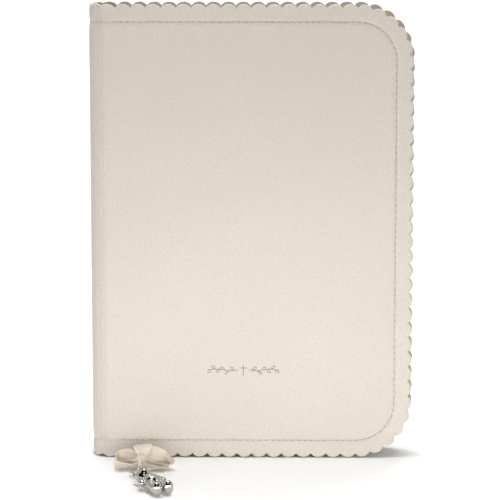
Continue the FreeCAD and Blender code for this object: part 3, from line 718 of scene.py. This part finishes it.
# Woven polyester tape: matt, with slanting ribs.
RIB = 0.6                  # mm from rib to rib of the weave
zip_tape_cloth, tree = new_material("herringbone_polyester_zip_tape")
place = add(tree, "TexCoord").outputs["Object"]
rib = add(tree, "TexWave", {"bands_direction": "DIAGONAL"}, Vector=place, Scale=314 / RIB, Distortion=0.4)
tone = add(tree, "MixRGB", Fac=rib.outputs["Fac"], Color1=linear("#C9BEB0"), Color2=linear("#D9CFC3"))
bump = add(tree, "Bump", Strength=0.5, Distance=0.0001, Height=rib.outputs["Fac"])
finish_material(tree, Base_Color=tone.outputs["Color"], Roughness=0.85, Normal=bump.outputs["Normal"])
paint_nodes(zip_tape_cloth, "front_zip_tape", "back_zip_tape", "zip_end_tape")

# Nylon monofilament: smooth, milky and a little glossy.
nylon, tree = new_material("nylon_monofilament_coil")
place = add(tree, "TexCoord").outputs["Object"]
haze = add(tree, "TexNoise", Vector=place, Scale=1000 / 3.0)
tone = add(tree, "MixRGB", Fac=haze.outputs["Fac"], Color1=linear("#DDD3C7"), Color2=linear("#EAE2D8"))
finish_material(tree, Base_Color=tone.outputs["Color"], Roughness=0.35, Coat_Weight=0.2)

# Nickel plate on die-cast zinc: bright, with a slightly uneven polish.
nickel, tree = new_material("bright_nickel_plate")
place = add(tree, "TexCoord").outputs["Object"]
swirl = add(tree, "TexNoise", Vector=place, Scale=1000 / 1.5, Detail=4.0)
rough = add(tree, "MapRange", Value=swirl.outputs["Fac"], To_Min=0.14, To_Max=0.3)
finish_material(tree, Base_Color=linear("#D8D5CF"), Metallic=1.0, Roughness=rough.outputs["Result"])
paint_nodes(nickel, "zip_slider", "slider_bridge", "pull_tab", "zip_top_stops", "zip_bottom_stop")


def coil_loop(name):
    """One loop of the coil: local X along the zip, Z from the middle of the zip to its tape."""
    deselect()
    bpy.ops.mesh.primitive_torus_add(major_segments=10, minor_segments=6, major_radius=LOOP_RADIUS,
                                     minor_radius=COIL_THREAD)
    loop = bpy.context.object
    loop.name = name
    for vertex in loop.data.vertices:
        x, y, z = vertex.co
        vertex.co = (z * MM, x * MM, (y + (LOOP_FAR if y > 0 else LOOP_NEAR)) * MM)
    bpy.ops.object.shade_smooth()
    paint(loop, nylon)
    return loop


def coil_row(side, name, low_x, high_x, offset):
    """One side's row of loops, round the three open sides."""
    total, at = inset_line(front_fore_x, ZIP_INSET, low_x, high_x, 0.0)
    frames = []
    for i in range(int((total - offset) / COIL_PITCH)):
        point, along = at(offset + i * COIL_PITCH)
        frames.append((point, along, Vector((0, side, 0))))
    return placed_run(coil_loop(name), frames)


front_coil = coil_row(-1, "front_coil_loops", FRONT_COIL_X, COIL_END_X, 0.0)
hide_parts("front_zip_coil")
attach(front_coil, "front_cover")
back_coil = coil_row(1, "back_coil_loops", BACK_COIL_X, COIL_END_X, BACK_COIL_SHIFT)
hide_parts("back_zip_coil")
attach(back_coil, "back_cover")
frames = [(Vector((END_COIL_X + i * COIL_PITCH, 0, ZIP_INSET)) * MM, Vector((1, 0, 0)), Vector((0, 1, 0)))
          for i in range(END_LOOPS)]
end_coil = placed_run(coil_loop("end_coil_loops"), frames)
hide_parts("zip_end_coil")
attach(end_coil, "front_cover")


# ---- Ribbon bow ---------------------------------------------------------------------------------------
# A cream satin ribbon 8 mm wide is hitched to the pull tab, comes out gathered through a notch of the
# scallops, and is tied in a soft bow in front of the cover. It is one strip: over the top of the knot,
# round the left loop, round the right loop, and out as a cut end; a second end lies to the right.
RIBBON_WIDTH, RIBBON_THICK = 8.0, 0.28
PLEATS, PLEAT_DEPTH = 4, 0.6   # half waves across the ribbon where it is gathered, and how deep
RIPPLE = 0.25              # the share of that depth where it lies flat
WANDER, WANDER_STEP = 1.1, 0.35   # how far the pleats wander sideways, and how soon
BELLY = 0.35               # how far its middle stands off
TABLE_GAP = 0.4            # the lowest its middle line may come
KNOT_PLACE, KNOT_RADII = Vector((-50.9, -32.9, 4.0)), (2.3, 2.8, 2.9)
KNOT_FOLD = 0.13
LEAD_RADIUS = 0.5

# Polyester satin: a soft gloss along the folds, with fine cross threads and slubs.
cream_satin, tree = new_material("cream_polyester_satin")
thread_place = add(tree, "UVMap").outputs["UV"]
weft = add(tree, "TexWave", {"bands_direction": "X"}, Vector=thread_place, Scale=120.0, Distortion=0.8)
slub = add(tree, "TexNoise", Vector=thread_place, Scale=14.0, Detail=3.0)
tone = add(tree, "MixRGB", Fac=slub.outputs["Fac"], Color1=linear("#CDC1AE"), Color2=linear("#E0D6C6"))
bump = add(tree, "Bump", Strength=0.12, Distance=0.00005, Height=weft.outputs["Fac"])
finish_material(tree, Base_Color=tone.outputs["Color"], Roughness=0.42, Normal=bump.outputs["Normal"],
                Sheen_Weight=0.35, Sheen_Roughness=0.4)

# the strip's line, its width's direction (x, y, z) and its width there, in mm, from the notch onwards
BOW = (
    ((-55.7, -12.6, 1.2), (0.5, 0.0, 0.8), 1.6),
    ((-55.3, -15.0, 2.8), (0.9, 0.0, 0.4), 3.0),
    ((-53.2, -18.6, 6.0), (1.0, 0.0, 0.1), 6.4),
    ((-51.0, -22.6, 8.8), (1.0, 0.1, 0.1), 8.4),
    ((-50.2, -26.8, 9.2), (1.0, 0.0, 0.1), 8.8),
    ((-50.2, -30.0, 8.2), (1.0, 0.0, 0.1), 7.2),
    ((-50.8, -31.6, 5.6), (0.8, 0.0, 0.6), 3.6),
    ((-53.6, -30.2, 4.6), (0.3, 0.2, 0.9), 4.8),
    ((-56.6, -28.0, 5.0), (0.4, 0.3, 0.9), 7.6),
    ((-60.0, -27.0, 3.9), (0.3, 0.3, 0.8), 7.2),
    ((-62.6, -28.8, 3.0), (-0.3, -0.3, 0.8), 6.0),
    ((-60.6, -30.8, 2.7), (-0.2, -0.8, 0.5), 6.4),
    ((-56.6, -32.0, 2.8), (0.0, -0.8, 0.6), 6.0),
    ((-52.8, -32.8, 3.4), (0.0, -0.2, 1.0), 3.4),
    ((-49.6, -32.6, 4.2), (0.0, 0.0, 1.0), 3.0),
    ((-47.4, -30.2, 5.6), (-0.3, 0.3, 0.9), 6.4),
    ((-44.2, -27.6, 5.4), (-0.3, 0.4, 0.9), 8.6),
    ((-40.6, -28.2, 3.5), (-0.2, 0.4, 0.7), 7.8),
    ((-36.9, -31.0, 1.9), (0.5, -0.6, 0.4), 6.6),
    ((-38.4, -33.8, 1.5), (0.2, -0.9, 0.3), 6.8),
    ((-43.8, -34.6, 2.1), (0.1, -0.8, 0.6), 6.4),
    ((-48.4, -34.0, 3.0), (0.0, -0.2, 1.0), 3.4),
    ((-51.8, -34.8, 2.8), (0.2, -0.2, 0.9), 3.0),
    ((-55.4, -35.6, 2.0), (0.0, -0.9, 0.5), 5.6),
    ((-59.8, -35.2, 1.9), (-0.2, -0.6, 0.7), 7.0),
    ((-62.8, -34.4, 2.3), (-0.3, -0.4, 0.8), 6.6),
)
TAIL = (
    ((-50.6, -34.0, 3.0), (0.0, -0.3, 0.9), 3.0),
    ((-47.6, -35.2, 2.4), (-0.1, -0.8, 0.5), 5.2),
    ((-43.8, -35.4, 1.6), (0.0, -0.9, 0.4), 6.8),
    ((-40.4, -34.8, 1.2), (0.2, -0.9, 0.3), 7.6),
)


def smooth_line(name, keys, steps):
    """The points of the smooth curve that the keys' places steer."""
    holder = bent_lines(name, [([key[0] for key in keys], False)], steps)
    line = bpy.data.meshes.new_from_object(holder)
    points = [v.co.copy() for v in line.vertices]
    bpy.data.objects.remove(holder)
    bpy.data.meshes.remove(line)
    return points


def key_between(keys, share):
    """Width direction and width at a share of the way through the keys."""
    f = share * (len(keys) - 1)
    i = min(int(f), len(keys) - 2)
    t = f - i
    t = t * t * (3 - 2 * t)
    a, b = keys[i], keys[i + 1]
    return Vector(a[1]).lerp(Vector(b[1]), t), (a[2] * (1 - t) + b[2] * t) * MM


def ribbon_strip(name, keys, steps=5, across=8):
    """A strip of ribbon along the keys, gathered into pleats where it is narrow."""
    points = smooth_line(name + "_line", keys, steps)
    last = len(points) - 1

    def strip_place(i, j):
        direction, width = key_between(keys, i / last)
        along = (points[min(i + 1, last)] - points[max(i - 1, 0)]).normalized()
        direction = (direction - along * direction.dot(along)).normalized()
        face = along.cross(direction)
        gather = 1 - width / (RIBBON_WIDTH * MM)
        wander = WANDER * math.sin(i * WANDER_STEP)
        pleat = math.sin(j / across * math.pi * PLEATS + wander) * (RIPPLE + gather) * PLEAT_DEPTH * MM
        belly = math.sin(j / across * math.pi) * BELLY * MM
        spot = points[i] + direction * width * (j / across - 0.5) + face * (pleat + belly)
        spot.z = max(spot.z, TABLE_GAP * MM)
        return spot

    strip = pressed_grid(name, last, across, strip_place)
    thick = strip.modifiers.new("thickness", "SOLIDIFY")
    thick.thickness, thick.offset = RIBBON_THICK * MM, 0.0
    round_off = strip.modifiers.new("smooth", "SUBSURF")
    round_off.levels = round_off.render_levels = 1
    apply_modifiers(strip)
    bpy.ops.object.shade_smooth()
    paint(strip, cream_satin)
    return strip, points


bow, bow_points = ribbon_strip("ribbon_bow", BOW)
tail, _ = ribbon_strip("ribbon_second_end", TAIL, steps=8)

# The wrap of the knot: the same ribbon, drawn tight once round the middle of the bow.
deselect()
bpy.ops.mesh.primitive_uv_sphere_add(segments=36, ring_count=24, radius=1.0)
knot = bpy.context.object
knot.name = "ribbon_knot_wrap"
for vertex in knot.data.vertices:
    x, y, z = vertex.co
    fold = 1 + KNOT_FOLD * math.sin(x * 9.0 + 1.6 * z + 0.7) * (1 - abs(z)) ** 0.5
    around = Vector((x * KNOT_RADII[0], y * KNOT_RADII[1] * fold, z * KNOT_RADII[2] * fold))
    vertex.co = (around + KNOT_PLACE) * MM
bpy.ops.object.shade_smooth()
paint(knot, cream_satin)

# The gathered lead: from its hitch in the tab's eye, down under the front cover and out by the notch.
LEAD = ((-56.2, -3.75, 2.7), (-56.05, -5.8, 1.3), (-55.72, -8.2, 0.56), (-55.72, -11.8, 0.56),
        (-55.72, -12.8, 1.0))
lead = bent_lines("ribbon_lead_out", [(LEAD, False)], steps=8, radius=LEAD_RADIUS, rounding=3)
paint(lead, cream_satin)
paint_nodes(cream_satin, "ribbon_hitch", "charm_ribbon_loop")

for piece in (bow, tail, knot, lead):
    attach(piece, "pull_tab")
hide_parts("ribbon_knot", "bow_left_loop", "bow_right_loop", "bow_tails")
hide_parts("ribbon_lead")


# ---- Rings and bear charm -----------------------------------------------------------------------------
# Two round wire rings and a lost-wax cast bear in polished silver, with a third ring through the eye on
# its head. The bear lies on its back with its feet to the front; its joints are only soft hollows.

# Polished silver: a slightly greyed mirror, with faint swirls from the buffing.
silver, tree = new_material("polished_silver")
place = add(tree, "TexCoord").outputs["Object"]
polish = add(tree, "TexNoise", Vector=place, Scale=1000 / 2.0, Detail=3.0)
rough = add(tree, "MapRange", Value=polish.outputs["Fac"], To_Min=0.06, To_Max=0.16)
finish_material(tree, Base_Color=linear("#B9B6B1"), Metallic=1.0, Roughness=rough.outputs["Result"])
paint_nodes(silver, "charm_split_ring", "charm_jump_ring")

BEAR_HEAD = Vector((-48.0, -59.4, 3.7))
BEAR_TURN = math.radians(-62.5)
RING_RADIUS, RING_WIRE, RING_PLACE = 1.7, 0.5, Vector((-50.9, -53.6, 3.05))
CAST_GRAIN = 0.28          # the finest detail that the casting keeps
bear_along = Vector((math.cos(BEAR_TURN), math.sin(BEAR_TURN), 0))
bear_across = Vector((0, 0, 1)).cross(bear_along).normalized()
bear_up = bear_along.cross(bear_across)
# each lump: how far along, across and up its middle is, and its radii that way
BEAR_LUMPS = [((0.0, 0.0, 0.1), (3.7, 4.0, 3.4)), ((0.9, 0.0, 2.6), (1.6, 1.9, 1.5)),
              ((8.0, 0.0, 0.0), (4.2, 3.9, 3.5)), ((4.4, 0.0, -0.4), (2.4, 2.2, 2.0))]
for side in (-1, 1):
    BEAR_LUMPS += [((-2.6, side * 3.1, 0.3), (1.5, 1.5, 1.2)),
                   ((6.4, side * 3.9, 0.2), (2.2, 2.0, 1.6)), ((9.0, side * 5.2, 0.1), (2.1, 1.6, 1.6)),
                   ((13.4, side * 2.4, -0.5), (3.5, 2.3, 2.5)), ((17.6, side * 2.6, -0.8), (3.2, 2.2, 2.3)),
                   ((20.2, side * 2.7, -0.2), (1.8, 2.4, 3.2))]
BEAR_LUMPS.append(((-4.2, 0.2, -0.5), (1.4, 1.0, 0.9)))   # the eye that the ring passes through
deselect()
bpy.ops.mesh.primitive_torus_add(major_segments=48, minor_segments=14, major_radius=RING_RADIUS * MM,
                                 minor_radius=RING_WIRE * MM, location=RING_PLACE * MM)
bpy.ops.object.transform_apply(location=True, rotation=False, scale=False)
lumps = [bpy.context.object]
for (a, c, u), radii in BEAR_LUMPS:
    deselect()
    bpy.ops.mesh.primitive_ico_sphere_add(subdivisions=4, radius=1.0)
    lump = bpy.context.object
    centre = BEAR_HEAD + bear_along * a + bear_across * c + bear_up * u
    for vertex in lump.data.vertices:
        x, y, z = vertex.co
        vertex.co = (centre + bear_along * (x * radii[0]) + bear_across * (y * radii[1])
                     + bear_up * (z * radii[2])) * MM
    lumps.append(lump)
bear = join("silver_bear", *lumps)
skin_over = bear.modifiers.new("cast", "REMESH")
skin_over.mode, skin_over.voxel_size = "VOXEL", CAST_GRAIN * MM
soften = bear.modifiers.new("polish", "SMOOTH")
soften.factor, soften.iterations = 0.5, 7
apply_modifiers(bear)
bpy.ops.object.shade_smooth()
paint(bear, silver)
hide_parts("bear_charm")
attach(bear, "charm")
